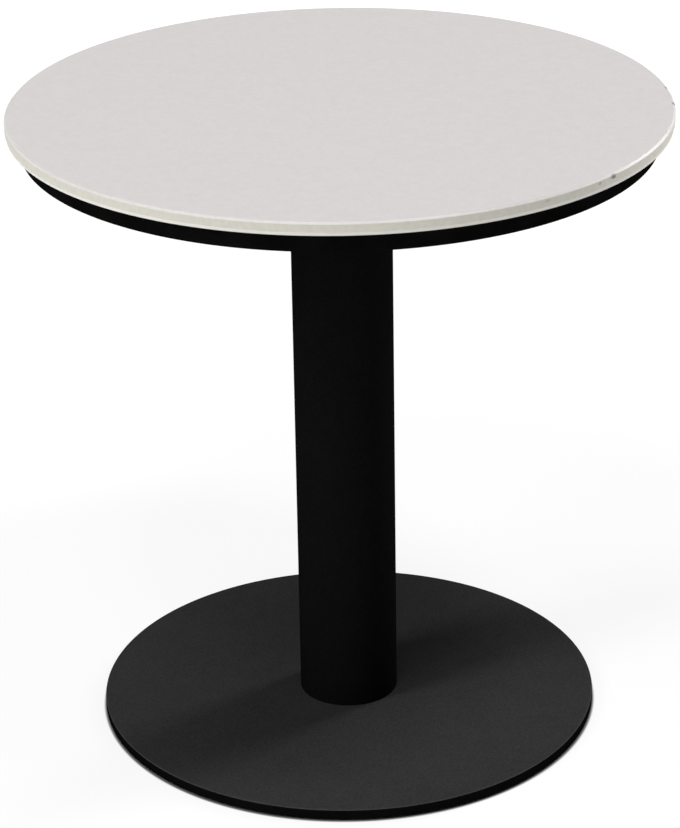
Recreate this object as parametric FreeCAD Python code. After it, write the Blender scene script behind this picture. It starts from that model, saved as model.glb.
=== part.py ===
# Round lounge table: a pale slab bonded to a dark board, carried by a tube column on a flat disc base.
# Millimetres, +Z up, origin on the floor under the middle of the column, the viewer on the -Y side.
import FreeCAD, Part
import math
import os

# Table as a whole
OVERALL_HEIGHT = 503.0

# Slab
TOP_DIAMETER = 500.0
TOP_THICKNESS = 10.0
TOP_UPPER_BEVEL = 1.6
TOP_LOWER_BEVEL = 1.5

# Adhesive pads between the slab and the board
BOND_THICKNESS = 1.0
BOND_PAD_DIAMETER = 36.0
BOND_OUTER_COUNT = 8
BOND_OUTER_INSET = 40.0
BOND_INNER_COUNT = 4
BOND_INNER_RADIUS = 90.0

# Board under the slab
BOARD_OVERHANG = 10.5
BOARD_THICKNESS = 15.0
BOARD_UPPER_ROUND = 0.6
BOARD_LOWER_ROUND = 1.6

# Threaded inserts in the board
INSERT_DIAMETER = 10.0
INSERT_FLANGE_DIAMETER = 13.0
INSERT_FLANGE_THICKNESS = 1.2
INSERT_ROOF = 3.0
INSERT_END_GAP = 1.0
INSERT_FIT = 0.05

# Steel plate under the board
TOP_PLATE_DIAMETER = 220.0
TOP_PLATE_THICKNESS = 5.0
TOP_PLATE_BEVEL = 1.2
PLATE_SCREW_COUNT = 6
PLATE_SCREW_INSET = 20.0

# Button-head screws and washers that hold the plate to the board
PLATE_SCREW_DIAMETER = 6.0
PLATE_SCREW_HEAD_DIAMETER = 10.5
PLATE_SCREW_HEAD_HEIGHT = 3.3
PLATE_SCREW_HEAD_ROUND = 2.2
PLATE_SCREW_SOCKET = 4.0
PLATE_SCREW_SOCKET_DEPTH = 1.8
PLATE_SCREW_TIP_GAP = 1.5
WASHER_DIAMETER = 12.5
WASHER_THICKNESS = 1.6
WASHER_HOLE_CLEARANCE = 0.2

# Column
COLUMN_DIAMETER = 78.0
COLUMN_WALL = 2.0
COLUMN_END_BEVEL = 0.4
END_DISC_THICKNESS = 10.0
END_DISC_FIT = 0.05
END_DISC_BEVEL = 0.8
END_DISC_VENT_DIAMETER = 10.0

# Countersunk screws that hold the column to the plate above and to the base below
COLUMN_SCREW_COUNT = 4
COLUMN_SCREW_INSET = 15.0
COLUMN_SCREW_DIAMETER = 8.0
COLUMN_SCREW_HEAD_DIAMETER = 15.5
COLUMN_SCREW_HEAD_HEIGHT = 4.0
COLUMN_SCREW_ENGAGEMENT = 8.0
COLUMN_SCREW_SOCKET = 5.0
COLUMN_SCREW_SOCKET_DEPTH = 2.8
SCREW_TIP_BEVEL = 0.8

# Base plate
BASE_DIAMETER = 395.0
BASE_THICKNESS = 8.0
BASE_UPPER_ROUND = 1.0
BASE_LOWER_BEVEL = 0.5

# Levelling glides in the underside of the base
GLIDE_EDGE_INSET = 30.0
GLIDE_STANDOFF = 1.5
GLIDE_RECESS_DEPTH = 2.0
GLIDE_RECESS_CLEARANCE = 0.4
GLIDE_PAD_DIAMETER = 24.0
GLIDE_PAD_ROUND = 0.6
GLIDE_KEY_HOLE_DIAMETER = 8.0
GLIDE_RIM_GAP = 0.2
GLIDE_LIP_GAP = 0.1
GLIDE_SWIVEL_CLEARANCE = 0.3

# Threaded stud of a glide
STUD_DIAMETER = 8.0
STUD_FLANGE_DIAMETER = 15.0
STUD_FLANGE_THICKNESS = 0.8
STUD_COLLAR_DIAMETER = 12.0
STUD_COLLAR_THICKNESS = 0.8
STUD_SOCKET = 5.0
STUD_SOCKET_DEPTH = 2.6
STUD_TIP_BEVEL = 0.6
STUD_END_GAP = 0.4
STUD_ROOF = 1.2

# Fits that several pieces share
THREAD_FIT = 0.05
HEAD_SEAT_FIT = 0.15
SCREW_HOLE_CLEARANCE = 0.3
OVERRUN = 1.0

# Heights, from the floor up
base_underside = GLIDE_STANDOFF
base_upper = base_underside + BASE_THICKNESS
top_underside = OVERALL_HEIGHT - TOP_THICKNESS
board_upper = top_underside - BOND_THICKNESS
board_underside = board_upper - BOARD_THICKNESS
column_upper = board_underside - TOP_PLATE_THICKNESS

# Radii and the rings that repeated pieces sit on
top_radius = TOP_DIAMETER / 2
board_radius = top_radius - BOARD_OVERHANG
column_radius = COLUMN_DIAMETER / 2
bore_radius = column_radius - COLUMN_WALL
column_screw_ring = bore_radius - COLUMN_SCREW_INSET
plate_screw_ring = TOP_PLATE_DIAMETER / 2 - PLATE_SCREW_INSET
glide_ring = BASE_DIAMETER / 2 - GLIDE_EDGE_INSET

# Each glide's place as an angle about +Z, with +X to the right and +Y to the back
GLIDE_ANGLES = {
    "front_right": -45,
    "back_right": 45,
    "back_left": 135,
    "front_left": 225,
}

UP = FreeCAD.Vector(0, 0, 1)
SIDEWAYS = FreeCAD.Vector(1, 0, 0)
CENTRE = FreeCAD.Vector(0, 0, 0)


def turned(outline):
    """Solid of revolution about Z from its (radius, height) corners in order."""
    corners = [FreeCAD.Vector(radius, 0, height) for radius, height in outline]
    face = Part.Face(Part.makePolygon(corners + corners[:1]))
    return face.revolve(CENTRE, UP, 360)


def cylinder(radius, lower, upper):
    """Upright cylinder about Z between two heights."""
    return Part.makeCylinder(radius, upper - lower, FreeCAD.Vector(0, 0, lower), UP)


def hexagon(across_flats, lower, upper):
    """Upright hexagonal prism about Z between two heights."""
    corner_radius = across_flats / 2 / math.cos(math.radians(30))
    corners = []
    for step in range(7):
        angle = math.radians(60 * step)
        corner = FreeCAD.Vector(corner_radius * math.cos(angle), corner_radius * math.sin(angle), lower)
        corners.append(corner)
    return Part.Face(Part.makePolygon(corners)).extrude(UP * (upper - lower))


def rim_edges(solid, radius, height):
    """Circular edges of a solid that have this radius at this height."""
    edges = []
    for edge in solid.Edges:
        if not isinstance(edge.Curve, Part.Circle):
            continue
        same_radius = math.isclose(edge.Curve.Radius, radius, abs_tol=Part.Precision.confusion())
        same_height = math.isclose(edge.Curve.Center.z, height, abs_tol=Part.Precision.confusion())
        if same_radius and same_height:
            edges.append(edge)
    return edges


def raised(shape, height):
    """Copy of a shape moved up."""
    copy = shape.copy()
    copy.translate(UP * height)
    return copy


def flipped(shape):
    """Copy of a shape turned upside down about the X axis."""
    copy = shape.copy()
    copy.rotate(CENTRE, SIDEWAYS, 180)
    return copy


def placed(shape, ring_radius, angle):
    """Copy of a shape moved out to a ring about Z, at an angle in degrees."""
    copy = shape.copy()
    copy.translate(SIDEWAYS * ring_radius)
    copy.rotate(CENTRE, UP, angle)
    return copy


def ring_of(shape, count, ring_radius, first_angle=0):
    """Copies of a shape spaced evenly on a ring about Z."""
    return [placed(shape, ring_radius, first_angle + 360 * step / count) for step in range(count)]


def column_screw_ring_of(shape):
    """One copy of a shape for each countersunk screw of the column."""
    return ring_of(shape, COLUMN_SCREW_COUNT, column_screw_ring, 180 / COLUMN_SCREW_COUNT)


def plate_screw_ring_of(shape):
    """One copy of a shape for each screw that holds the top plate."""
    return ring_of(shape, PLATE_SCREW_COUNT, plate_screw_ring)


def table_top():
    """Slab with bevelled edges."""
    return turned([
        (0, top_underside),
        (top_radius - TOP_LOWER_BEVEL, top_underside),
        (top_radius, top_underside + TOP_LOWER_BEVEL),
        (top_radius, OVERALL_HEIGHT - TOP_UPPER_BEVEL),
        (top_radius - TOP_UPPER_BEVEL, OVERALL_HEIGHT),
        (0, OVERALL_HEIGHT),
    ])


def adhesive_pads():
    """Round pads of adhesive in two rings, between the board and the slab."""
    pad = cylinder(BOND_PAD_DIAMETER / 2, board_upper, top_underside)
    outer = ring_of(pad, BOND_OUTER_COUNT, board_radius - BOND_OUTER_INSET)
    inner = ring_of(pad, BOND_INNER_COUNT, BOND_INNER_RADIUS, 180 / BOND_INNER_COUNT)
    return Part.makeCompound(outer + inner)


def insert_hole_depth():
    """How far the hole for a threaded insert goes up into the board."""
    return BOARD_THICKNESS - INSERT_ROOF


def insert_length():
    """Length of a threaded insert, short of the end of its hole."""
    return insert_hole_depth() - INSERT_END_GAP


def sub_top():
    """Board that carries the slab, rounded at its edges, with blind holes for the inserts."""
    board = cylinder(board_radius, board_underside, board_upper)
    board = board.makeFillet(BOARD_LOWER_ROUND, rim_edges(board, board_radius, board_underside))
    board = board.makeFillet(BOARD_UPPER_ROUND, rim_edges(board, board_radius, board_upper))
    hole = turned([
        (0, -OVERRUN),
        (INSERT_FLANGE_DIAMETER / 2 + INSERT_FIT, -OVERRUN),
        (INSERT_FLANGE_DIAMETER / 2 + INSERT_FIT, INSERT_FLANGE_THICKNESS),
        (INSERT_DIAMETER / 2 + INSERT_FIT, INSERT_FLANGE_THICKNESS),
        (INSERT_DIAMETER / 2 + INSERT_FIT, insert_hole_depth()),
        (0, insert_hole_depth()),
    ])
    return board.cut(plate_screw_ring_of(raised(hole, board_underside)))


def insert_nuts():
    """Flanged threaded inserts, flush with the underside of the board."""
    thread_radius = PLATE_SCREW_DIAMETER / 2 + THREAD_FIT
    insert = turned([
        (thread_radius, 0),
        (INSERT_FLANGE_DIAMETER / 2, 0),
        (INSERT_FLANGE_DIAMETER / 2, INSERT_FLANGE_THICKNESS),
        (INSERT_DIAMETER / 2, INSERT_FLANGE_THICKNESS),
        (INSERT_DIAMETER / 2, insert_length()),
        (thread_radius, insert_length()),
    ])
    return Part.makeCompound(plate_screw_ring_of(raised(insert, board_underside)))


def column_screw(plate_thickness):
    """Countersunk screw for a plate of this thickness, head down with its flat face at zero height."""
    length = plate_thickness + COLUMN_SCREW_ENGAGEMENT
    radius = COLUMN_SCREW_DIAMETER / 2
    screw = turned([
        (0, 0),
        (COLUMN_SCREW_HEAD_DIAMETER / 2, 0),
        (radius, COLUMN_SCREW_HEAD_HEIGHT),
        (radius, length - SCREW_TIP_BEVEL),
        (radius - SCREW_TIP_BEVEL, length),
        (0, length),
    ])
    return screw.cut(hexagon(COLUMN_SCREW_SOCKET, -OVERRUN, COLUMN_SCREW_SOCKET_DEPTH))


def column_screw_hole(plate_thickness, shank_clearance):
    """Countersunk hole for the same screw, through the plate and the end disc behind it."""
    far_end = plate_thickness + END_DISC_THICKNESS + OVERRUN
    head_radius = COLUMN_SCREW_HEAD_DIAMETER / 2 + HEAD_SEAT_FIT
    neck_radius = COLUMN_SCREW_DIAMETER / 2 + HEAD_SEAT_FIT
    seat = turned([
        (0, -OVERRUN),
        (head_radius, -OVERRUN),
        (head_radius, 0),
        (neck_radius, COLUMN_SCREW_HEAD_HEIGHT),
        (0, COLUMN_SCREW_HEAD_HEIGHT),
    ])
    return seat.fuse(cylinder(COLUMN_SCREW_DIAMETER / 2 + shank_clearance, 0, far_end))


def top_plate():
    """Round steel plate under the board, with its edge bevelled below."""
    radius = TOP_PLATE_DIAMETER / 2
    plate = turned([
        (0, column_upper),
        (radius - TOP_PLATE_BEVEL, column_upper),
        (radius, column_upper + TOP_PLATE_BEVEL),
        (radius, board_underside),
        (0, board_underside),
    ])
    bolt_radius = PLATE_SCREW_DIAMETER / 2 + SCREW_HOLE_CLEARANCE
    bolt_hole = cylinder(bolt_radius, column_upper - OVERRUN, board_underside + OVERRUN)
    column_hole = flipped(column_screw_hole(TOP_PLATE_THICKNESS, SCREW_HOLE_CLEARANCE))
    holes = plate_screw_ring_of(bolt_hole)
    holes += column_screw_ring_of(raised(column_hole, board_underside))
    return plate.cut(holes)


def top_plate_screws():
    """Button-head screws up through the washers and the plate into the inserts."""
    radius = PLATE_SCREW_DIAMETER / 2
    head_radius = PLATE_SCREW_HEAD_DIAMETER / 2
    length = WASHER_THICKNESS + TOP_PLATE_THICKNESS + insert_length() - PLATE_SCREW_TIP_GAP
    head = cylinder(head_radius, -PLATE_SCREW_HEAD_HEIGHT, 0)
    head = head.makeFillet(PLATE_SCREW_HEAD_ROUND, rim_edges(head, head_radius, -PLATE_SCREW_HEAD_HEIGHT))
    shank = turned([
        (0, 0),
        (radius, 0),
        (radius, length - SCREW_TIP_BEVEL),
        (radius - SCREW_TIP_BEVEL, length),
        (0, length),
    ])
    socket_end = PLATE_SCREW_SOCKET_DEPTH - PLATE_SCREW_HEAD_HEIGHT
    socket = hexagon(PLATE_SCREW_SOCKET, -PLATE_SCREW_HEAD_HEIGHT - OVERRUN, socket_end)
    screw = head.fuse(shank).removeSplitter().cut(socket)
    return Part.makeCompound(plate_screw_ring_of(raised(screw, column_upper - WASHER_THICKNESS)))


def top_plate_washers():
    """Flat washers under the button heads."""
    lower = column_upper - WASHER_THICKNESS
    hole_radius = PLATE_SCREW_DIAMETER / 2 + WASHER_HOLE_CLEARANCE
    disc = cylinder(WASHER_DIAMETER / 2, lower, column_upper)
    washer = disc.cut(cylinder(hole_radius, lower - OVERRUN, column_upper + OVERRUN))
    return Part.makeCompound(plate_screw_ring_of(washer))


def upper_column_screws():
    """Countersunk screws down through the top plate into the upper end disc."""
    screw = flipped(column_screw(TOP_PLATE_THICKNESS))
    return Part.makeCompound(column_screw_ring_of(raised(screw, board_underside)))


def lower_column_screws():
    """Countersunk screws up through the base plate into the lower end disc."""
    return Part.makeCompound(column_screw_ring_of(raised(column_screw(BASE_THICKNESS), base_underside)))


def end_disc(plate_thickness):
    """Tapped disc for a tube end, on a plate of this thickness whose outer face is at zero height."""
    radius = bore_radius - END_DISC_FIT
    inner_end = plate_thickness + END_DISC_THICKNESS
    disc = turned([
        (END_DISC_VENT_DIAMETER / 2, plate_thickness),
        (radius, plate_thickness),
        (radius, inner_end - END_DISC_BEVEL),
        (radius - END_DISC_BEVEL, inner_end),
        (END_DISC_VENT_DIAMETER / 2, inner_end),
    ])
    return disc.cut(column_screw_ring_of(column_screw_hole(plate_thickness, THREAD_FIT)))


def upper_end_disc():
    """Disc welded into the top of the tube, under the top plate."""
    return raised(flipped(end_disc(TOP_PLATE_THICKNESS)), board_underside)


def lower_end_disc():
    """Disc welded into the foot of the tube, on the base plate."""
    return raised(end_disc(BASE_THICKNESS), base_underside)


def column_tube():
    """Round tube from the base plate to the top plate, its outer ends lightly bevelled."""
    return turned([
        (bore_radius, base_upper),
        (column_radius - COLUMN_END_BEVEL, base_upper),
        (column_radius, base_upper + COLUMN_END_BEVEL),
        (column_radius, column_upper - COLUMN_END_BEVEL),
        (column_radius - COLUMN_END_BEVEL, column_upper),
        (bore_radius, column_upper),
    ])


def stud_hole_depth():
    """How far the tapped hole of a glide goes up from the ceiling of its recess."""
    return BASE_THICKNESS - GLIDE_RECESS_DEPTH - STUD_ROOF


def glide_seat():
    """Recess and tapped blind hole for one glide, from the underside of the base at zero height."""
    recess_radius = GLIDE_PAD_DIAMETER / 2 + GLIDE_RECESS_CLEARANCE
    thread_radius = STUD_DIAMETER / 2 + THREAD_FIT
    roof = GLIDE_RECESS_DEPTH + stud_hole_depth()
    return turned([
        (0, -OVERRUN),
        (recess_radius, -OVERRUN),
        (recess_radius, GLIDE_RECESS_DEPTH),
        (thread_radius, GLIDE_RECESS_DEPTH),
        (thread_radius, roof),
        (0, roof),
    ])


def base_plate():
    """Flat disc that stands on the glides and carries the column."""
    radius = BASE_DIAMETER / 2
    plate = turned([
        (0, base_underside),
        (radius - BASE_LOWER_BEVEL, base_underside),
        (radius, base_underside + BASE_LOWER_BEVEL),
        (radius, base_upper),
        (0, base_upper),
    ])
    plate = plate.makeFillet(BASE_UPPER_ROUND, rim_edges(plate, radius, base_upper))
    column_hole = raised(column_screw_hole(BASE_THICKNESS, SCREW_HOLE_CLEARANCE), base_underside)
    seat = raised(glide_seat(), base_underside)
    seats = [placed(seat, glide_ring, angle) for angle in GLIDE_ANGLES.values()]
    return plate.cut(column_screw_ring_of(column_hole) + seats)


def recess_ceiling():
    """Height of the ceiling of a glide's recess, where the stud's collar stops."""
    return base_underside + GLIDE_RECESS_DEPTH


def stud_foot():
    """Height of the underside of a stud's flange, which bears on the pad."""
    return recess_ceiling() - STUD_COLLAR_THICKNESS - STUD_FLANGE_THICKNESS


def glide_pad():
    """Sliding pad that clips round the stud's flange, with a hole below for the hexagon key."""
    radius = GLIDE_PAD_DIAMETER / 2
    key_radius = GLIDE_KEY_HOLE_DIAMETER / 2
    cavity_radius = STUD_FLANGE_DIAMETER / 2 + GLIDE_SWIVEL_CLEARANCE
    lip_radius = STUD_COLLAR_DIAMETER / 2 + GLIDE_SWIVEL_CLEARANCE
    lip_underside = stud_foot() + STUD_FLANGE_THICKNESS + GLIDE_LIP_GAP
    rim_upper = recess_ceiling() - GLIDE_RIM_GAP
    pad = turned([
        (key_radius, 0),
        (radius, 0),
        (radius, rim_upper),
        (lip_radius, rim_upper),
        (lip_radius, lip_underside),
        (cavity_radius, lip_underside),
        (cavity_radius, stud_foot()),
        (key_radius, stud_foot()),
    ])
    return pad.makeFillet(GLIDE_PAD_ROUND, rim_edges(pad, radius, 0))


def glide_stud():
    """Threaded stud with a flange, a collar and a hexagon socket reached from below."""
    radius = STUD_DIAMETER / 2
    tip = recess_ceiling() + stud_hole_depth() - STUD_END_GAP
    flange_upper = stud_foot() + STUD_FLANGE_THICKNESS
    stud = turned([
        (0, stud_foot()),
        (STUD_FLANGE_DIAMETER / 2, stud_foot()),
        (STUD_FLANGE_DIAMETER / 2, flange_upper),
        (STUD_COLLAR_DIAMETER / 2, flange_upper),
        (STUD_COLLAR_DIAMETER / 2, recess_ceiling()),
        (radius, recess_ceiling()),
        (radius, tip - STUD_TIP_BEVEL),
        (radius - STUD_TIP_BEVEL, tip),
        (0, tip),
    ])
    return stud.cut(hexagon(STUD_SOCKET, stud_foot() - OVERRUN, stud_foot() + STUD_SOCKET_DEPTH))


def all_pieces():
    """Every node of the table with its solid or group of solids."""
    pieces = {
        "table_top": table_top(),
        "adhesive_pads": adhesive_pads(),
        "sub_top": sub_top(),
        "insert_nuts": insert_nuts(),
        "top_plate": top_plate(),
        "top_plate_screws": top_plate_screws(),
        "top_plate_washers": top_plate_washers(),
        "upper_column_screws": upper_column_screws(),
        "upper_end_disc": upper_end_disc(),
        "column_tube": column_tube(),
        "lower_end_disc": lower_end_disc(),
        "lower_column_screws": lower_column_screws(),
        "base_plate": base_plate(),
    }
    for place, angle in GLIDE_ANGLES.items():
        pieces["glide_pad_" + place] = placed(glide_pad(), glide_ring, angle)
        pieces["glide_stud_" + place] = placed(glide_stud(), glide_ring, angle)
    return pieces


os.makedirs("parts", exist_ok=True)
for name, shape in all_pieces().items():
    shape.exportStep(os.path.join("parts", name + ".step"))
    print(name, "solids", len(shape.Solids), "valid", shape.isValid(), "volume", round(shape.Volume))
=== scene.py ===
import math
from collections import namedtuple

import bmesh
import bpy
from mathutils import Matrix, Vector
from mathutils.noise import noise as ragged


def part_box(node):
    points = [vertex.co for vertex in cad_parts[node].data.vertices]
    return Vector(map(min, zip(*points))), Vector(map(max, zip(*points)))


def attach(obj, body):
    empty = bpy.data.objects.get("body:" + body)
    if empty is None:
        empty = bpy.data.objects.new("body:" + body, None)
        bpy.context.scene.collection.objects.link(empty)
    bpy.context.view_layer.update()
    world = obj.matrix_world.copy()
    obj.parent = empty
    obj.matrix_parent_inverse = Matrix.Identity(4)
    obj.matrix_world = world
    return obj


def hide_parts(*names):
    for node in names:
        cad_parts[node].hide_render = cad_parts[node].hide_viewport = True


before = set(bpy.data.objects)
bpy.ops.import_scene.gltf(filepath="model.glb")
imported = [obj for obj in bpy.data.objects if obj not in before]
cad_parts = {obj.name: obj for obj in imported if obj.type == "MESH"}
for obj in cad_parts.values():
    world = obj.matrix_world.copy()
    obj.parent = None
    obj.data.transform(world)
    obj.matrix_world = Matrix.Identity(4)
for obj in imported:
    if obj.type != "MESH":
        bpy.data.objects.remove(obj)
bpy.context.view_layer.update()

SCENE = bpy.context.scene
MILLIMETRE = 0.001
TURN = 2.0 * math.pi
EIGHTH_TURN = TURN / 8.0
ROUND_STEPS = 5
HOLE_SEGMENTS = 48
HOLE_OVERRUN = 1.0 * MILLIMETRE
SHARP_ANGLE = math.radians(32.0)

# Camera
IMAGE_HEIGHT = 828.0
CAMERA_PLACE = Vector((0.0, -2.1618, 1.2240))
CAMERA_PITCH_DOWN = math.radians(24.548)
CAMERA_ROLL = math.radians(-0.938)
FOCAL_PIXELS = 3032.7
MIDDLE_OFF_PIXELS = (4.79, 14.25)
SENSOR = 36.0


def add_camera():
    """The camera at the photographed angle, for an image 680 wide and 828 high."""
    data = bpy.data.cameras.new("camera")
    data.sensor_width = SENSOR
    data.lens = FOCAL_PIXELS * SENSOR / IMAGE_HEIGHT
    data.shift_x = -MIDDLE_OFF_PIXELS[0] / IMAGE_HEIGHT
    data.shift_y = MIDDLE_OFF_PIXELS[1] / IMAGE_HEIGHT
    data.dof.use_dof = False
    camera = bpy.data.objects.new("camera", data)
    tilt = Matrix.Rotation(math.pi / 2.0 - CAMERA_PITCH_DOWN, 4, "X")
    roll = Matrix.Rotation(CAMERA_ROLL, 4, "Z")
    camera.matrix_world = Matrix.Translation(CAMERA_PLACE) @ tilt @ roll
    SCENE.collection.objects.link(camera)
    SCENE.camera = camera


# Turned shapes
def rounded(corners):
    """The outline through corners of (radius, height, rounding), with an arc at each rounded one."""
    outline = []
    for index, (across, up, rounding) in enumerate(corners):
        here = Vector((across, up))
        if rounding == 0.0:
            outline.append(here)
            continue
        back = (Vector(corners[index - 1][:2]) - here).normalized()
        ahead = (Vector(corners[(index + 1) % len(corners)][:2]) - here).normalized()
        half = back.angle(ahead) / 2.0
        centre = here + (back + ahead).normalized() * rounding / math.sin(half)
        start = here + back * rounding / math.tan(half) - centre
        finish = here + ahead * rounding / math.tan(half) - centre
        swing = start.angle_signed(finish)
        for step in range(ROUND_STEPS + 1):
            outline.append(centre + Matrix.Rotation(-swing * step / ROUND_STEPS, 2) @ start)
    return outline


def divided(start, finish, count):
    """Points that divide the straight run between two outline points, ends left out."""
    return [start.lerp(finish, step / count) for step in range(1, count)]


def even_angles(count):
    return [TURN * step / count for step in range(count)]


def turned_mesh(name, outline, angles, ring=False):
    """A mesh turned about the Z axis from an outline that runs outside on its right-hand side.

    A ring closes on itself. Of any other outline, an end that is off the axis gets a flat cap.
    """
    shape = bmesh.new()
    rings = []
    for across, up in outline:
        if across == 0.0:
            rings.append([shape.verts.new((0.0, 0.0, up))])
        else:
            rings.append([shape.verts.new((across * math.cos(a), across * math.sin(a), up)) for a in angles])
    followers = rings[1:] + rings[:1] if ring else rings[1:]
    for lower, upper in zip(rings, followers):
        for index in range(len(angles)):
            after = (index + 1) % len(angles)
            corners = [lower[index % len(lower)], lower[after % len(lower)],
                       upper[after % len(upper)], upper[index % len(upper)]]
            shape.faces.new(list(dict.fromkeys(corners)))
    if not ring and len(rings[0]) > 1:
        shape.faces.new(rings[0][::-1])
    if not ring and len(rings[-1]) > 1:
        shape.faces.new(rings[-1])
    mesh = bpy.data.meshes.new(name)
    shape.to_mesh(mesh)
    shape.free()
    return mesh


def smooth(mesh):
    for face in mesh.polygons:
        face.use_smooth = True
    mesh.set_sharp_from_angle(angle=SHARP_ANGLE)


def ring_places(radius, count, first_turn):
    """Evenly spaced places on a circle round the Z axis."""
    turns = [first_turn + angle for angle in even_angles(count)]
    return [(radius * math.cos(turn), radius * math.sin(turn)) for turn in turns]


def drilled(mesh, holes):
    """The mesh with holes cut in it, each given by its turned outline and the places of its axis."""
    half_step = TURN / HOLE_SEGMENTS / 2.0
    hole_angles = [angle + half_step for angle in even_angles(HOLE_SEGMENTS)]
    shape = bmesh.new()
    for outline, places in holes:
        for across, along in places:
            hole = turned_mesh("hole", outline, hole_angles)
            hole.transform(Matrix.Translation((across, along, 0.0)))
            shape.from_mesh(hole)
            bpy.data.meshes.remove(hole)
    tool_mesh = bpy.data.meshes.new("tool")
    shape.to_mesh(tool_mesh)
    shape.free()
    blank = bpy.data.objects.new("blank", mesh)
    tool = bpy.data.objects.new("tool", tool_mesh)
    for item in (blank, tool):
        SCENE.collection.objects.link(item)
    cut = blank.modifiers.new("holes", "BOOLEAN")
    cut.operation = "DIFFERENCE"
    cut.solver = "EXACT"
    cut.object = tool
    graph = bpy.context.evaluated_depsgraph_get()
    result = bpy.data.meshes.new_from_object(blank.evaluated_get(graph))
    for item in (blank, tool):
        bpy.data.objects.remove(item)
    return result


def add_piece(name, mesh, material, node, body):
    """Puts a finished mesh in the scene in place of its CAD node."""
    smooth(mesh)
    piece = bpy.data.objects.new(name, mesh)
    SCENE.collection.objects.link(piece)
    mesh.materials.append(material)
    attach(piece, body)
    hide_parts(node)


# Shader helpers
NOISE_LIMITS = (0.3, 0.7)
TONE_FADE = 0.25 * MILLIMETRE


def new_material(name):
    """A material with its node tree and its surface shader."""
    material = bpy.data.materials.new(name)
    material.use_nodes = True
    tree = material.node_tree
    return material, tree, tree.nodes["Principled BSDF"]


def feed(tree, socket, value):
    """Joins a socket to another one, or sets it to a value."""
    if isinstance(value, bpy.types.NodeSocket):
        tree.links.new(value, socket)
    else:
        socket.default_value = value


def add_node(tree, kind, inputs=(), **settings):
    """A node with its settings made and its inputs fed."""
    node = tree.nodes.new(kind)
    for name, value in settings.items():
        setattr(node, name, value)
    for name, value in dict(inputs).items():
        feed(tree, node.inputs[name], value)
    return node


def place_of(tree):
    """Coordinates that stay with the piece."""
    return add_node(tree, "ShaderNodeTexCoord").outputs["Object"]


def height_of(tree, place):
    return add_node(tree, "ShaderNodeSeparateXYZ", {"Vector": place}).outputs["Z"]


def noise(tree, place, scale, detail, rough):
    found = add_node(tree, "ShaderNodeTexNoise", {
        "Vector": place, "Scale": scale, "Detail": detail, "Roughness": rough})
    return found.outputs["Fac"]


def spread(tree, value, low, high, to_low=0.0, to_high=1.0):
    """Maps low..high of a value smoothly to another range."""
    found = add_node(tree, "ShaderNodeMapRange", {
        "Value": value, "From Min": low, "From Max": high, "To Min": to_low, "To Max": to_high},
        interpolation_type="SMOOTHSTEP")
    return found.outputs["Result"]


def varied(tree, value, low, high):
    """Maps the usual range of a noise smoothly to another range."""
    return spread(tree, value, *NOISE_LIMITS, low, high)


def blend(tree, share, first, second):
    """A colour between two, by a share."""
    found = add_node(tree, "ShaderNodeMix", data_type="RGBA")
    feed(tree, found.inputs[0], share)
    feed(tree, found.inputs[6], first)
    feed(tree, found.inputs[7], second)
    return found.outputs[2]


def mottled(tree, value, tones, limits=NOISE_LIMITS):
    """A colour that a noise varies between two tones."""
    return blend(tree, spread(tree, value, *limits), *tones)


def math_node(tree, operation, first, second):
    found = add_node(tree, "ShaderNodeMath", {0: first, 1: second}, operation=operation)
    return found.outputs[0]


def add_bump(tree, shader, height, strength, distance):
    found = add_node(tree, "ShaderNodeBump", {"Height": height, "Strength": strength, "Distance": distance})
    feed(tree, shader.inputs["Normal"], found.outputs["Normal"])


def grey(level):
    return (level, level, level, 1.0)


# Slab sizes
SLAB_LOW, SLAB_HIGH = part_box("table_top")
SLAB_RADIUS = SLAB_HIGH.x
SLAB_UPPER_BEVEL = 1.6 * MILLIMETRE
SLAB_LOWER_BEVEL = 0.6 * MILLIMETRE
SLAB_LOWER_BEVEL_HEIGHT = 2.6 * MILLIMETRE
SLAB_SOFTENING = 0.30 * MILLIMETRE
SLAB_SEGMENTS = 720
SLAB_BEVEL_STEPS = 8
SLAB_EDGE_STEPS = 24
SLAB_HOLD = 4.0 * MILLIMETRE
SLAB_HOLD_STEPS = 12

# Chips and smudges on the slab's rim: angle in degrees, then in millimetres the distance in from the rim
# and below the top, the half length along the rim, half width, half height and depth, and last how dark
Mark = namedtuple("Mark", "angle inset below half_length half_width half_height depth darkness")
MARK_ROWS = (
    (-40.2, 0.0, 2.6, 3.9, 2.4, 1.9, 0.50, 0.80),
    (-2.4, 0.4, 0.6, 4.2, 2.5, 2.4, 0.50, 0.95),
    (6.0, 0.4, 0.6, 5.4, 2.8, 2.4, 0.55, 0.95),
    (-43.8, 0.0, 3.4, 2.2, 2.0, 1.3, 0.05, 0.34),
    (-55.5, 0.0, 3.4, 3.4, 2.0, 1.4, 0.05, 0.18),
)
RIM_MARKS = [
    Mark(angle, *(length * MILLIMETRE for length in lengths), darkness)
    for angle, *lengths, darkness in MARK_ROWS
]
MARK_STEP = 0.15 * MILLIMETRE
MARK_MARGIN_SHARE = 1.2
MARK_RAGGED_SHARE = 0.35
MARK_RAGGED_SCALE = 750.0
MARK_FADE_SHARE = 0.5
MARK_SLANT_SHARE = math.sqrt(0.5)
WEAR = "wear"

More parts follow.
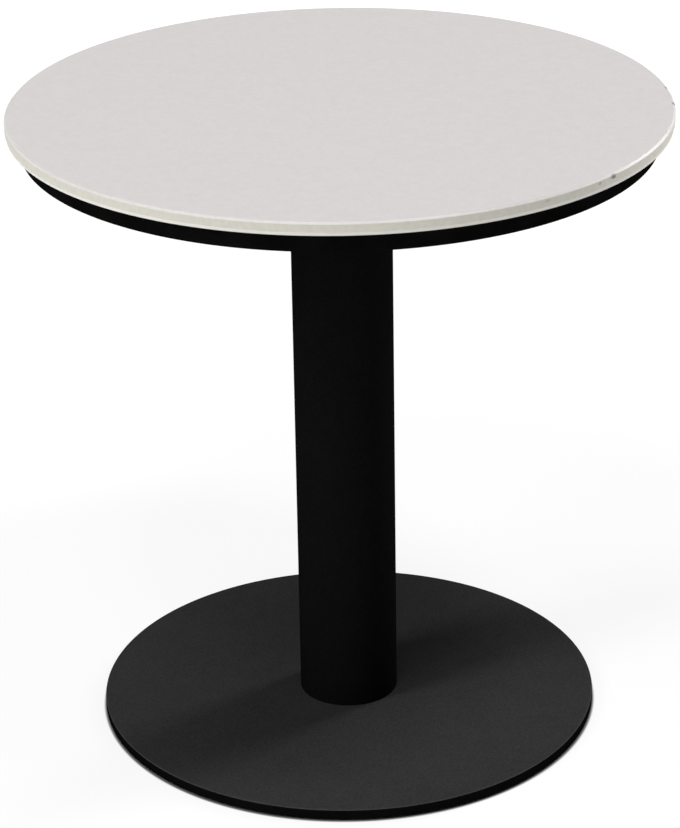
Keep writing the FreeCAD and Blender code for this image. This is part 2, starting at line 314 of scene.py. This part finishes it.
# Slab looks: each noise has a scale, a detail and a roughness, each bump a strength and a distance
SLAB_MOTTLE = (120.0, 6.0, 0.7)
SLAB_SPECKLE = (520.0, 2.0, 0.6)
SLAB_GRAIN = (260.0, 4.0, 0.6)
SLAB_GRAIN_LIMITS = (0.35, 0.65)
SLAB_FACE_TONES = ((0.628, 0.600, 0.594, 1.0), (0.655, 0.628, 0.622, 1.0))
SLAB_SPECKLE_TONE = (0.54, 0.52, 0.515, 1.0)
SLAB_SPECKLE_LIMITS = (0.50, 0.72)
SLAB_SPECKLE_SHARE = 0.20
SLAB_EDGE_TONES = ((0.746, 0.727, 0.642, 1.0), (0.786, 0.767, 0.682, 1.0))
SLAB_BEVEL_TONES = ((0.710, 0.695, 0.667, 1.0), (0.745, 0.730, 0.701, 1.0))
# Painted highlight: the near white of the lower facet stands for the bright streak of light along the slab's
# lower arris.
SLAB_LOWER_HIGHLIGHT_TONES = ((0.955, 0.935, 0.86, 1.0), (0.985, 0.965, 0.89, 1.0))
SLAB_WEAR_TONE = (0.09, 0.085, 0.08, 1.0)
SLAB_FACE_ROUGHNESS = (0.50, 0.60)
SLAB_BEVEL_ROUGHNESS = (0.34, 0.42)
SLAB_SPECULAR = 0.4
SLAB_BUMP = (0.06, 0.2 * MILLIMETRE)


def slab_angles():
    """Even steps round the slab, with finer ones at each mark."""
    angles = even_angles(SLAB_SEGMENTS)
    for mark in RIM_MARKS:
        reach = mark.half_length * MARK_MARGIN_SHARE
        count = math.ceil(reach / MARK_STEP)
        for step in range(-count, count + 1):
            angles.append((math.radians(mark.angle) + step * reach / count / SLAB_RADIUS) % TURN)
    return sorted(set(round(a, 7) for a in angles))


def slab_outline():
    """From the middle of the underside out, up the edge and back in to the middle of the top."""
    low, high, radius = SLAB_LOW.z, SLAB_HIGH.z, SLAB_RADIUS
    corners = [
        (0.0, low, 0.0),
        (radius - SLAB_LOWER_BEVEL - SLAB_HOLD, low, 0.0),
        (radius - SLAB_LOWER_BEVEL, low, SLAB_SOFTENING),
        (radius, low + SLAB_LOWER_BEVEL_HEIGHT, SLAB_SOFTENING),
        (radius, high - SLAB_UPPER_BEVEL, SLAB_SOFTENING),
        (radius - SLAB_UPPER_BEVEL, high, SLAB_SOFTENING),
        (radius - SLAB_UPPER_BEVEL - SLAB_HOLD, high, 0.0),
        (0.0, high, 0.0),
    ]
    points = rounded(corners)
    arc = ROUND_STEPS + 1
    lower_edge_end = 2 + 2 * arc
    upper_edge_end = lower_edge_end + arc
    edge = divided(points[lower_edge_end - 1], points[lower_edge_end], SLAB_EDGE_STEPS)
    bevel = divided(points[upper_edge_end - 1], points[upper_edge_end], SLAB_BEVEL_STEPS)
    border = divided(points[-3], points[-2], SLAB_HOLD_STEPS)
    return (points[:lower_edge_end] + edge + points[lower_edge_end:upper_edge_end]
            + bevel + points[upper_edge_end:-2] + border + points[-2:])


def mark_rim(mesh):
    """Dents the chips into the rim and notes on each point how worn it is."""
    wear = mesh.attributes.new(WEAR, "FLOAT", "POINT")
    for vertex in mesh.vertices:
        across = math.hypot(vertex.co.x, vertex.co.y)
        if across < SLAB_RADIUS - SLAB_UPPER_BEVEL - SLAB_HOLD:
            continue
        angle = math.atan2(vertex.co.y, vertex.co.x)
        for mark in RIM_MARKS:
            along = SLAB_RADIUS * (angle - math.radians(mark.angle)) / mark.half_length
            inward = (SLAB_RADIUS - mark.inset - across) / mark.half_width
            up = (vertex.co.z - (SLAB_HIGH.z - mark.below)) / mark.half_height
            off = math.hypot(along, inward, up) + MARK_RAGGED_SHARE * ragged(vertex.co * MARK_RAGGED_SCALE)
            if off >= 1.0:
                continue
            dent = mark.depth * (1.0 - off * off)
            vertex.co.x -= math.cos(angle) * dent * MARK_SLANT_SHARE
            vertex.co.y -= math.sin(angle) * dent * MARK_SLANT_SHARE
            vertex.co.z -= dent * MARK_SLANT_SHARE
            wear.data[vertex.index].value = mark.darkness * min(1.0, (1.0 - off) / MARK_FADE_SHARE)


def slab_material():
    """Matte pale face with a faint mottle, a smoother bevel, a beige ground edge, and a painted highlight in
    near white on the lower facet.
    """
    material, tree, shader = new_material("slab_stone")
    place = place_of(tree)
    height = height_of(tree, place)
    mottle = noise(tree, place, *SLAB_MOTTLE)
    speckle = noise(tree, place, *SLAB_SPECKLE)
    grain = noise(tree, place, *SLAB_GRAIN)
    face = mottled(tree, mottle, SLAB_FACE_TONES)
    speck_share = spread(tree, speckle, *SLAB_SPECKLE_LIMITS, 0.0, SLAB_SPECKLE_SHARE)
    face = blend(tree, speck_share, face, SLAB_SPECKLE_TONE)
    edge = mottled(tree, grain, SLAB_EDGE_TONES, SLAB_GRAIN_LIMITS)
    bevel = mottled(tree, grain, SLAB_BEVEL_TONES, SLAB_GRAIN_LIMITS)
    # Painted highlight on the lower facet, below the beige edge.
    lower_highlight = mottled(tree, grain, SLAB_LOWER_HIGHLIGHT_TONES, SLAB_GRAIN_LIMITS)
    lower_highlight_top = SLAB_LOW.z + SLAB_LOWER_BEVEL_HEIGHT
    bevel_foot = SLAB_HIGH.z - SLAB_UPPER_BEVEL
    on_edge = spread(tree, height, lower_highlight_top - TONE_FADE, lower_highlight_top + TONE_FADE)
    in_bevel = spread(tree, height, bevel_foot - TONE_FADE, bevel_foot + TONE_FADE)
    on_face = spread(tree, height, SLAB_HIGH.z - TONE_FADE, SLAB_HIGH.z)
    wear = add_node(tree, "ShaderNodeAttribute", attribute_name=WEAR).outputs["Fac"]
    colour = blend(tree, on_edge, lower_highlight, edge)
    colour = blend(tree, in_bevel, colour, bevel)
    colour = blend(tree, on_face, colour, face)
    colour = blend(tree, wear, colour, SLAB_WEAR_TONE)
    feed(tree, shader.inputs["Base Color"], colour)
    face_roughness = varied(tree, speckle, *SLAB_FACE_ROUGHNESS)
    bevel_roughness = varied(tree, grain, *SLAB_BEVEL_ROUGHNESS)
    only_bevel = math_node(tree, "SUBTRACT", in_bevel, on_face)
    feed(tree, shader.inputs["Roughness"], blend(tree, only_bevel, face_roughness, bevel_roughness))
    shader.inputs["Specular IOR Level"].default_value = SLAB_SPECULAR
    add_bump(tree, shader, grain, *SLAB_BUMP)
    return material


def add_slab():
    mesh = turned_mesh("slab", slab_outline(), slab_angles())
    mark_rim(mesh)
    add_piece("slab", mesh, slab_material(), "table_top", "table")


# Board sizes
BOARD_LOW, BOARD_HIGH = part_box("sub_top")
BOARD_RADIUS = BOARD_HIGH.x
BOARD_UPPER_ROUND = 0.6 * MILLIMETRE
BOARD_LOWER_ROUND = 1.6 * MILLIMETRE
BOARD_SEGMENTS = 540
BOARD_HOLD = 1.0 * MILLIMETRE
INSERT_RING = 90.0 * MILLIMETRE
INSERT_COUNT = 6
INSERT_HOLE_RADIUS = 5.05 * MILLIMETRE
INSERT_HOLE_DEPTH = 12.0 * MILLIMETRE
INSERT_FLANGE_RADIUS = 6.55 * MILLIMETRE
INSERT_FLANGE_DEPTH = 1.2 * MILLIMETRE

# Board looks
BOARD_DRIFT = (35.0, 4.0, 0.55)
BOARD_PEEL = (420.0, 2.0, 0.55)
BOARD_TONES = (grey(0.004), grey(0.0065))
BOARD_ROUGHNESS = (0.50, 0.62)
BOARD_BUMP = (0.10, 0.2 * MILLIMETRE)


def board_material():
    """Black lacquer over fine board, with a soft orange-peel surface."""
    material, tree, shader = new_material("board_lacquer")
    place = place_of(tree)
    drift = noise(tree, place, *BOARD_DRIFT)
    peel = noise(tree, place, *BOARD_PEEL)
    feed(tree, shader.inputs["Base Color"], mottled(tree, drift, BOARD_TONES))
    feed(tree, shader.inputs["Roughness"], varied(tree, peel, *BOARD_ROUGHNESS))
    shader.inputs["Specular IOR Level"].default_value = 0.0
    add_bump(tree, shader, peel, *BOARD_BUMP)
    return material


def insert_hole():
    """Outline of the stepped blind hole for a threaded insert."""
    low = BOARD_LOW.z
    return [Vector(point) for point in (
        (0.0, low - HOLE_OVERRUN),
        (INSERT_FLANGE_RADIUS, low - HOLE_OVERRUN),
        (INSERT_FLANGE_RADIUS, low + INSERT_FLANGE_DEPTH),
        (INSERT_HOLE_RADIUS, low + INSERT_FLANGE_DEPTH),
        (INSERT_HOLE_RADIUS, low + INSERT_HOLE_DEPTH),
        (0.0, low + INSERT_HOLE_DEPTH),
    )]


def add_board():
    low, high, radius = BOARD_LOW.z, BOARD_HIGH.z, BOARD_RADIUS
    outline = rounded([
        (0.0, low, 0.0),
        (radius - BOARD_LOWER_ROUND - BOARD_HOLD, low, 0.0),
        (radius, low, BOARD_LOWER_ROUND),
        (radius, high, BOARD_UPPER_ROUND),
        (radius - BOARD_UPPER_ROUND - BOARD_HOLD, high, 0.0),
        (0.0, high, 0.0),
    ])
    mesh = turned_mesh("board", outline, even_angles(BOARD_SEGMENTS))
    mesh = drilled(mesh, [(insert_hole(), ring_places(INSERT_RING, INSERT_COUNT, 0.0))])
    add_piece("board", mesh, board_material(), "sub_top", "table")


# Column sizes
COLUMN_LOW, COLUMN_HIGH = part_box("column_tube")
COLUMN_RADIUS = COLUMN_HIGH.x
COLUMN_WALL = 2.0 * MILLIMETRE
COLUMN_END_ROUND = 0.4 * MILLIMETRE
COLUMN_SEGMENTS = 240
COLUMN_RINGS = 24

# Powder coat of the column and base
COAT_CLOUD = (40.0, 5.0, 0.7)
COAT_GRAIN = (900.0, 2.0, 0.5)
COAT_CLOUD_SHARE = 0.2
COAT_GRAIN_SHARE = 0.8
COAT_ROUGHNESS = (0.55, 0.70)
COAT_BUMP = (0.14, 0.15 * MILLIMETRE)
# Painted shade: the column's coat is several times darker than the base's face, though it is the same coat.
COLUMN_SHADE_TONES = (grey(0.0050), grey(0.0090))


def coat_surface(tree, shader, place):
    """Gives a shader the fine texture of powder coat, and returns its share of light over dark."""
    cloud = noise(tree, place, *COAT_CLOUD)
    grain = noise(tree, place, *COAT_GRAIN)
    feed(tree, shader.inputs["Roughness"], varied(tree, grain, *COAT_ROUGHNESS))
    shader.inputs["Specular IOR Level"].default_value = 0.0
    add_bump(tree, shader, grain, *COAT_BUMP)
    cloud_share = varied(tree, cloud, 0.0, COAT_CLOUD_SHARE)
    grain_share = varied(tree, grain, 0.0, COAT_GRAIN_SHARE)
    return math_node(tree, "ADD", cloud_share, grain_share)


def column_material():
    """Black powder coat, the base's coat set several times darker than the base's face as painted shade."""
    material, tree, shader = new_material("column_coat")
    share = coat_surface(tree, shader, place_of(tree))
    feed(tree, shader.inputs["Base Color"], blend(tree, share, *COLUMN_SHADE_TONES))
    return material


def add_column(material):
    low, high, radius = COLUMN_LOW.z, COLUMN_HIGH.z, COLUMN_RADIUS
    inside = radius - COLUMN_WALL
    outline = rounded([
        (inside, low, 0.0),
        (radius, low, COLUMN_END_ROUND),
        (radius, high, COLUMN_END_ROUND),
        (inside, high, 0.0),
    ])
    arc = ROUND_STEPS + 1
    wall = divided(outline[arc], outline[arc + 1], COLUMN_RINGS)
    outline = outline[:arc + 1] + wall + outline[arc + 1:]
    mesh = turned_mesh("column", outline, even_angles(COLUMN_SEGMENTS), ring=True)
    add_piece("column", mesh, material, "column_tube", "table")


# Base sizes
BASE_LOW, BASE_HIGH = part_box("base_plate")
BASE_RADIUS = BASE_HIGH.x
BASE_UPPER_ROUND = 1.0 * MILLIMETRE
BASE_LOWER_ROUND = 0.5 * MILLIMETRE
BASE_SEGMENTS = 480
BASE_HOLD = 1.0 * MILLIMETRE
BASE_HUB = 36.0 * MILLIMETRE
GLIDE_RING = 167.5 * MILLIMETRE
GLIDE_COUNT = 4
GLIDE_RECESS_RADIUS = 12.4 * MILLIMETRE
GLIDE_RECESS_DEPTH = 2.0 * MILLIMETRE
STUD_HOLE_RADIUS = 4.05 * MILLIMETRE
STUD_HOLE_DEPTH = 6.8 * MILLIMETRE
SCREW_RING = 22.0 * MILLIMETRE
SCREW_COUNT = 4
SCREW_HEAD_RADIUS = 7.9 * MILLIMETRE
SCREW_HEAD_DEPTH = 4.0 * MILLIMETRE
SCREW_NECK_RADIUS = 4.3 * MILLIMETRE

# Base looks
# Painted highlight: a paler band of the coat on the upper edge's round, where the edge catches light.
BASE_EDGE_HIGHLIGHT_DROP = 0.10 * MILLIMETRE
BASE_RIM_SHARE = 0.45
BASE_FACE_TONES = (grey(0.0325), grey(0.048))
BASE_EDGE_HIGHLIGHT_TONES = (grey(0.052), grey(0.077))
# Painted shade: the rim is the face's coat, coloured near black as the shade on its upright side.
BASE_RIM_SHADE_TONES = (grey(0.003), grey(0.006))


def base_material():
    """Charcoal powder coat on the face, with a painted highlight along the upper edge's round and painted
    shade, near black, down the rim.
    """
    material, tree, shader = new_material("base_coat")
    place = place_of(tree)
    share = coat_surface(tree, shader, place)
    height = height_of(tree, place)
    rim_top = BASE_HIGH.z - BASE_RIM_SHARE * BASE_UPPER_ROUND
    face = blend(tree, share, *BASE_FACE_TONES)
    edge_highlight = blend(tree, share, *BASE_EDGE_HIGHLIGHT_TONES)
    rim = blend(tree, share, *BASE_RIM_SHADE_TONES)
    # Painted highlight: the paler band sits on the upper round, just below the top face.
    colour = blend(tree, spread(tree, height, BASE_HIGH.z - BASE_EDGE_HIGHLIGHT_DROP, BASE_HIGH.z), edge_highlight, face)
    # Painted shade: below the upper round the coat turns near black.
    colour = blend(tree, spread(tree, height, rim_top - TONE_FADE, rim_top + TONE_FADE), rim, colour)
    feed(tree, shader.inputs["Base Color"], colour)
    return material


def glide_seat():
    """Outline of the recess for a glide's pad and the hole for its stud."""
    low = BASE_LOW.z
    return [Vector(point) for point in (
        (0.0, low - HOLE_OVERRUN),
        (GLIDE_RECESS_RADIUS, low - HOLE_OVERRUN),
        (GLIDE_RECESS_RADIUS, low + GLIDE_RECESS_DEPTH),
        (STUD_HOLE_RADIUS, low + GLIDE_RECESS_DEPTH),
        (STUD_HOLE_RADIUS, low + STUD_HOLE_DEPTH),
        (0.0, low + STUD_HOLE_DEPTH),
    )]


def screw_seat():
    """Outline of the countersunk hole for a screw into the column."""
    low, high = BASE_LOW.z, BASE_HIGH.z
    return [Vector(point) for point in (
        (0.0, low - HOLE_OVERRUN),
        (SCREW_HEAD_RADIUS, low - HOLE_OVERRUN),
        (SCREW_HEAD_RADIUS, low),
        (SCREW_NECK_RADIUS, low + SCREW_HEAD_DEPTH),
        (SCREW_NECK_RADIUS, high + HOLE_OVERRUN),
        (0.0, high + HOLE_OVERRUN),
    )]


def add_base():
    """The plate, with flat caps inside its hub that the screw holes are cut through."""
    low, high, radius = BASE_LOW.z, BASE_HIGH.z, BASE_RADIUS
    outline = rounded([
        (BASE_HUB, low, 0.0),
        (radius - BASE_LOWER_ROUND - BASE_HOLD, low, 0.0),
        (radius, low, BASE_LOWER_ROUND),
        (radius, high, BASE_UPPER_ROUND),
        (radius - BASE_UPPER_ROUND - BASE_HOLD, high, 0.0),
        (BASE_HUB, high, 0.0),
    ])
    mesh = turned_mesh("base", outline, even_angles(BASE_SEGMENTS))
    mesh = drilled(mesh, [
        (glide_seat(), ring_places(GLIDE_RING, GLIDE_COUNT, EIGHTH_TURN)),
        (screw_seat(), ring_places(SCREW_RING, SCREW_COUNT, EIGHTH_TURN)),
    ])
    add_piece("base", mesh, base_material(), "base_plate", "table")


# Looks of the fittings kept from the CAD model
ZINC_CLOUD = (300.0, 4.0, 0.6)
ZINC_SCRATCH = (2600.0, 2.0, 0.5)
ZINC_TONES = ((0.47, 0.48, 0.50, 1.0), (0.60, 0.61, 0.62, 1.0))
ZINC_ROUGHNESS = (0.30, 0.45)
ZINC_BUMP = (0.10, 0.05 * MILLIMETRE)
STEEL_CLOUD = (90.0, 4.0, 0.6)
STEEL_SCRATCH = (1800.0, 2.0, 0.5)
STEEL_TONES = ((0.32, 0.32, 0.33, 1.0), (0.40, 0.40, 0.41, 1.0))
STEEL_ROUGHNESS = (0.38, 0.52)
STEEL_BUMP = (0.12, 0.05 * MILLIMETRE)
NYLON_GRAIN = (1400.0, 3.0, 0.6)
NYLON_TONES = (grey(0.022), grey(0.032))
NYLON_SCUFF = (420.0, 5.0, 0.7)
NYLON_SCUFF_LIMITS = (0.48, 0.68)
NYLON_SCUFF_HEIGHT = 0.4 * MILLIMETRE
NYLON_SCUFF_TONE = grey(0.075)
NYLON_ROUGHNESS = (0.50, 0.65)
NYLON_SPECULAR = 0.3
NYLON_BUMP = (0.15, 0.1 * MILLIMETRE)
ADHESIVE_SKIN = (500.0, 3.0, 0.6)
ADHESIVE_TONES = (grey(0.035), grey(0.055))
ADHESIVE_ROUGHNESS = (0.45, 0.60)
ADHESIVE_BUMP = (0.20, 0.1 * MILLIMETRE)


def metal(name, cloud_form, scratch_form, tones, roughness, bump):
    """A metal with faint clouds and fine scratches."""
    material, tree, shader = new_material(name)
    place = place_of(tree)
    cloud = noise(tree, place, *cloud_form)
    scratch = noise(tree, place, *scratch_form)
    feed(tree, shader.inputs["Base Color"], mottled(tree, cloud, tones))
    feed(tree, shader.inputs["Roughness"], varied(tree, scratch, *roughness))
    shader.inputs["Metallic"].default_value = 1.0
    add_bump(tree, shader, scratch, *bump)
    return material


def plated_material():
    """Zinc plate with faint cloudy passivation."""
    return metal("zinc_plate", ZINC_CLOUD, ZINC_SCRATCH, ZINC_TONES, ZINC_ROUGHNESS, ZINC_BUMP)


def bare_steel_material():
    """Turned bare steel, slightly dulled."""
    return metal("bare_steel", STEEL_CLOUD, STEEL_SCRATCH, STEEL_TONES, STEEL_ROUGHNESS, STEEL_BUMP)


def nylon_material():
    """Moulded black nylon, scuffed where it stands on the floor."""
    material, tree, shader = new_material("glide_nylon")
    place = place_of(tree)
    grain = noise(tree, place, *NYLON_GRAIN)
    scuff = noise(tree, place, *NYLON_SCUFF)
    foot_share = spread(tree, height_of(tree, place), 0.0, NYLON_SCUFF_HEIGHT, 1.0, 0.0)
    worn_share = math_node(tree, "MULTIPLY", foot_share, spread(tree, scuff, *NYLON_SCUFF_LIMITS))
    colour = blend(tree, worn_share, mottled(tree, grain, NYLON_TONES), NYLON_SCUFF_TONE)
    feed(tree, shader.inputs["Base Color"], colour)
    feed(tree, shader.inputs["Roughness"], varied(tree, grain, *NYLON_ROUGHNESS))
    shader.inputs["Specular IOR Level"].default_value = NYLON_SPECULAR
    add_bump(tree, shader, grain, *NYLON_BUMP)
    return material


def adhesive_material():
    """Dark elastic adhesive with a slightly uneven skin."""
    material, tree, shader = new_material("adhesive")
    skin = noise(tree, place_of(tree), *ADHESIVE_SKIN)
    feed(tree, shader.inputs["Base Color"], mottled(tree, skin, ADHESIVE_TONES))
    feed(tree, shader.inputs["Roughness"], varied(tree, skin, *ADHESIVE_ROUGHNESS))
    add_bump(tree, shader, skin, *ADHESIVE_BUMP)
    return material


def dress(material, names):
    """Gives nodes of the CAD model a material."""
    for name in names:
        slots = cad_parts[name].data.materials
        slots.clear()
        slots.append(material)


def dress_fittings(coat):
    pads = [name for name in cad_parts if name.startswith("glide_pad")]
    studs = [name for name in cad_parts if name.startswith("glide_stud")]
    top_screws = ["insert_nuts", "top_plate_screws", "top_plate_washers"]
    column_screws = ["upper_column_screws", "lower_column_screws"]
    dress(coat, ["top_plate"])
    dress(plated_material(), top_screws + column_screws + studs)
    dress(bare_steel_material(), ["upper_end_disc", "lower_end_disc"])
    dress(nylon_material(), pads)
    dress(adhesive_material(), ["adhesive_pads"])


# Stage and light
FLOOR_HALF = 12.0
WHITE = (1.0, 1.0, 1.0, 1.0)
FLOOR_TONE = grey(0.90)
FLOOR_SEEN_TONE = grey(0.22)
FLOOR_GLOW = 0.82
FLOOR_FAR_GLOW = 1.0
FLOOR_GLOW_START = 0.7
FLOOR_GLOW_END = 2.2
UNDER_BASE_FADE = 2.5 * MILLIMETRE
WORLD_SHARE = 0.01
WORLD_SEEN_SHARE = 1.0
LAMP_DISTANCE = 5.0

# Lamps: name, turn and rise of their direction in degrees, width, height, share of the light on the top
LAMPS = (
    ("lamp_back_right", 37.4, 24.4, 1.0, 3.5, 0.204),
    ("lamp_front_left", 210.4, 36.3, 1.1, 2.5, 0.217),
    ("lamp_front", 255.4, 60.2, 0.9, 0.9, 0.158),
    ("lamp_front_right", 326.1, 69.1, 1.0, 0.8, 0.259),
    ("lamp_overhead", 175.0, 74.6, 1.0, 1.1, 0.128),
    ("lamp_low", 245.0, 13.0, 3.0, 1.4, 0.020),
)


def seen_share(tree):
    """1 for rays from the camera, or seen in a mirror or through glass, else 0."""
    path = add_node(tree, "ShaderNodeLightPath")
    share = math_node(tree, "MAXIMUM", path.outputs["Is Camera Ray"], path.outputs["Is Glossy Ray"])
    return math_node(tree, "MAXIMUM", share, path.outputs["Is Transmission Ray"])


def floor_glow(tree):
    """White glow of the floor: none under the base, and more far from the table."""
    place = add_node(tree, "ShaderNodeNewGeometry").outputs["Position"]
    off_axis = add_node(tree, "ShaderNodeVectorMath", {0: place}, operation="LENGTH").outputs["Value"]
    glow = spread(tree, off_axis, FLOOR_GLOW_START, FLOOR_GLOW_END, FLOOR_GLOW, FLOOR_FAR_GLOW)
    open_share = spread(tree, off_axis, BASE_RADIUS, BASE_RADIUS + UNDER_BASE_FADE)
    return math_node(tree, "MULTIPLY", glow, open_share)


def floor_material():
    """Pale to the light that the floor throws back, nearly white to the camera, with the table's shadow."""
    material, tree, shader = new_material("floor")
    tree.nodes.remove(shader)
    plain = add_node(tree, "ShaderNodeBsdfDiffuse", {"Color": FLOOR_TONE})
    seen = add_node(tree, "ShaderNodeBsdfDiffuse", {"Color": FLOOR_SEEN_TONE})
    glow = add_node(tree, "ShaderNodeEmission", {"Color": WHITE, "Strength": floor_glow(tree)})
    bright = add_node(tree, "ShaderNodeAddShader", {0: seen.outputs[0], 1: glow.outputs[0]})
    both = add_node(tree, "ShaderNodeMixShader", {
        0: seen_share(tree), 1: plain.outputs[0], 2: bright.outputs[0]})
    feed(tree, tree.nodes["Material Output"].inputs["Surface"], both.outputs[0])
    return material


def add_floor():
    mesh = bpy.data.meshes.new("floor")
    half = FLOOR_HALF
    corners = [(-half, -half, 0.0), (half, -half, 0.0), (half, half, 0.0), (-half, half, 0.0)]
    mesh.from_pydata(corners, [], [(0, 1, 2, 3)])
    floor = bpy.data.objects.new("floor", mesh)
    SCENE.collection.objects.link(floor)
    mesh.materials.append(floor_material())


def add_world():
    """White to the camera and in reflections, and a faint even light on everything else."""
    world = bpy.data.worlds.new("world")
    world.use_nodes = True
    SCENE.world = world
    tree = world.node_tree
    background = tree.nodes["Background"]
    background.inputs["Color"].default_value = WHITE
    strength = spread(tree, seen_share(tree), 0.0, 1.0, WORLD_SHARE, WORLD_SEEN_SHARE)
    feed(tree, background.inputs["Strength"], strength)


def add_lamps():
    """Soft lamps, each as strong as its share of the light on the top asks."""
    target = Vector((0.0, 0.0, SLAB_HIGH.z / 2.0))
    for name, turn, rise, width, height, share in LAMPS:
        data = bpy.data.lights.new(name, "AREA")
        data.shape = "RECTANGLE"
        data.size = width
        data.size_y = height
        up = math.sin(math.radians(rise))
        out = math.cos(math.radians(rise))
        data.energy = share * math.pi ** 2 * LAMP_DISTANCE ** 2 / up
        direction = Vector((out * math.cos(math.radians(turn)), out * math.sin(math.radians(turn)), up))
        lamp = bpy.data.objects.new(name, data)
        lamp.location = target + direction * LAMP_DISTANCE
        lamp.rotation_euler = direction.to_track_quat("Z", "Y").to_euler()
        lamp.visible_camera = False
        SCENE.collection.objects.link(lamp)


add_camera()
SCENE.view_settings.view_transform = "Standard"
column_coat = column_material()
add_slab()
add_board()
add_column(column_coat)
add_base()
dress_fittings(column_coat)
add_floor()
add_world()
add_lamps()
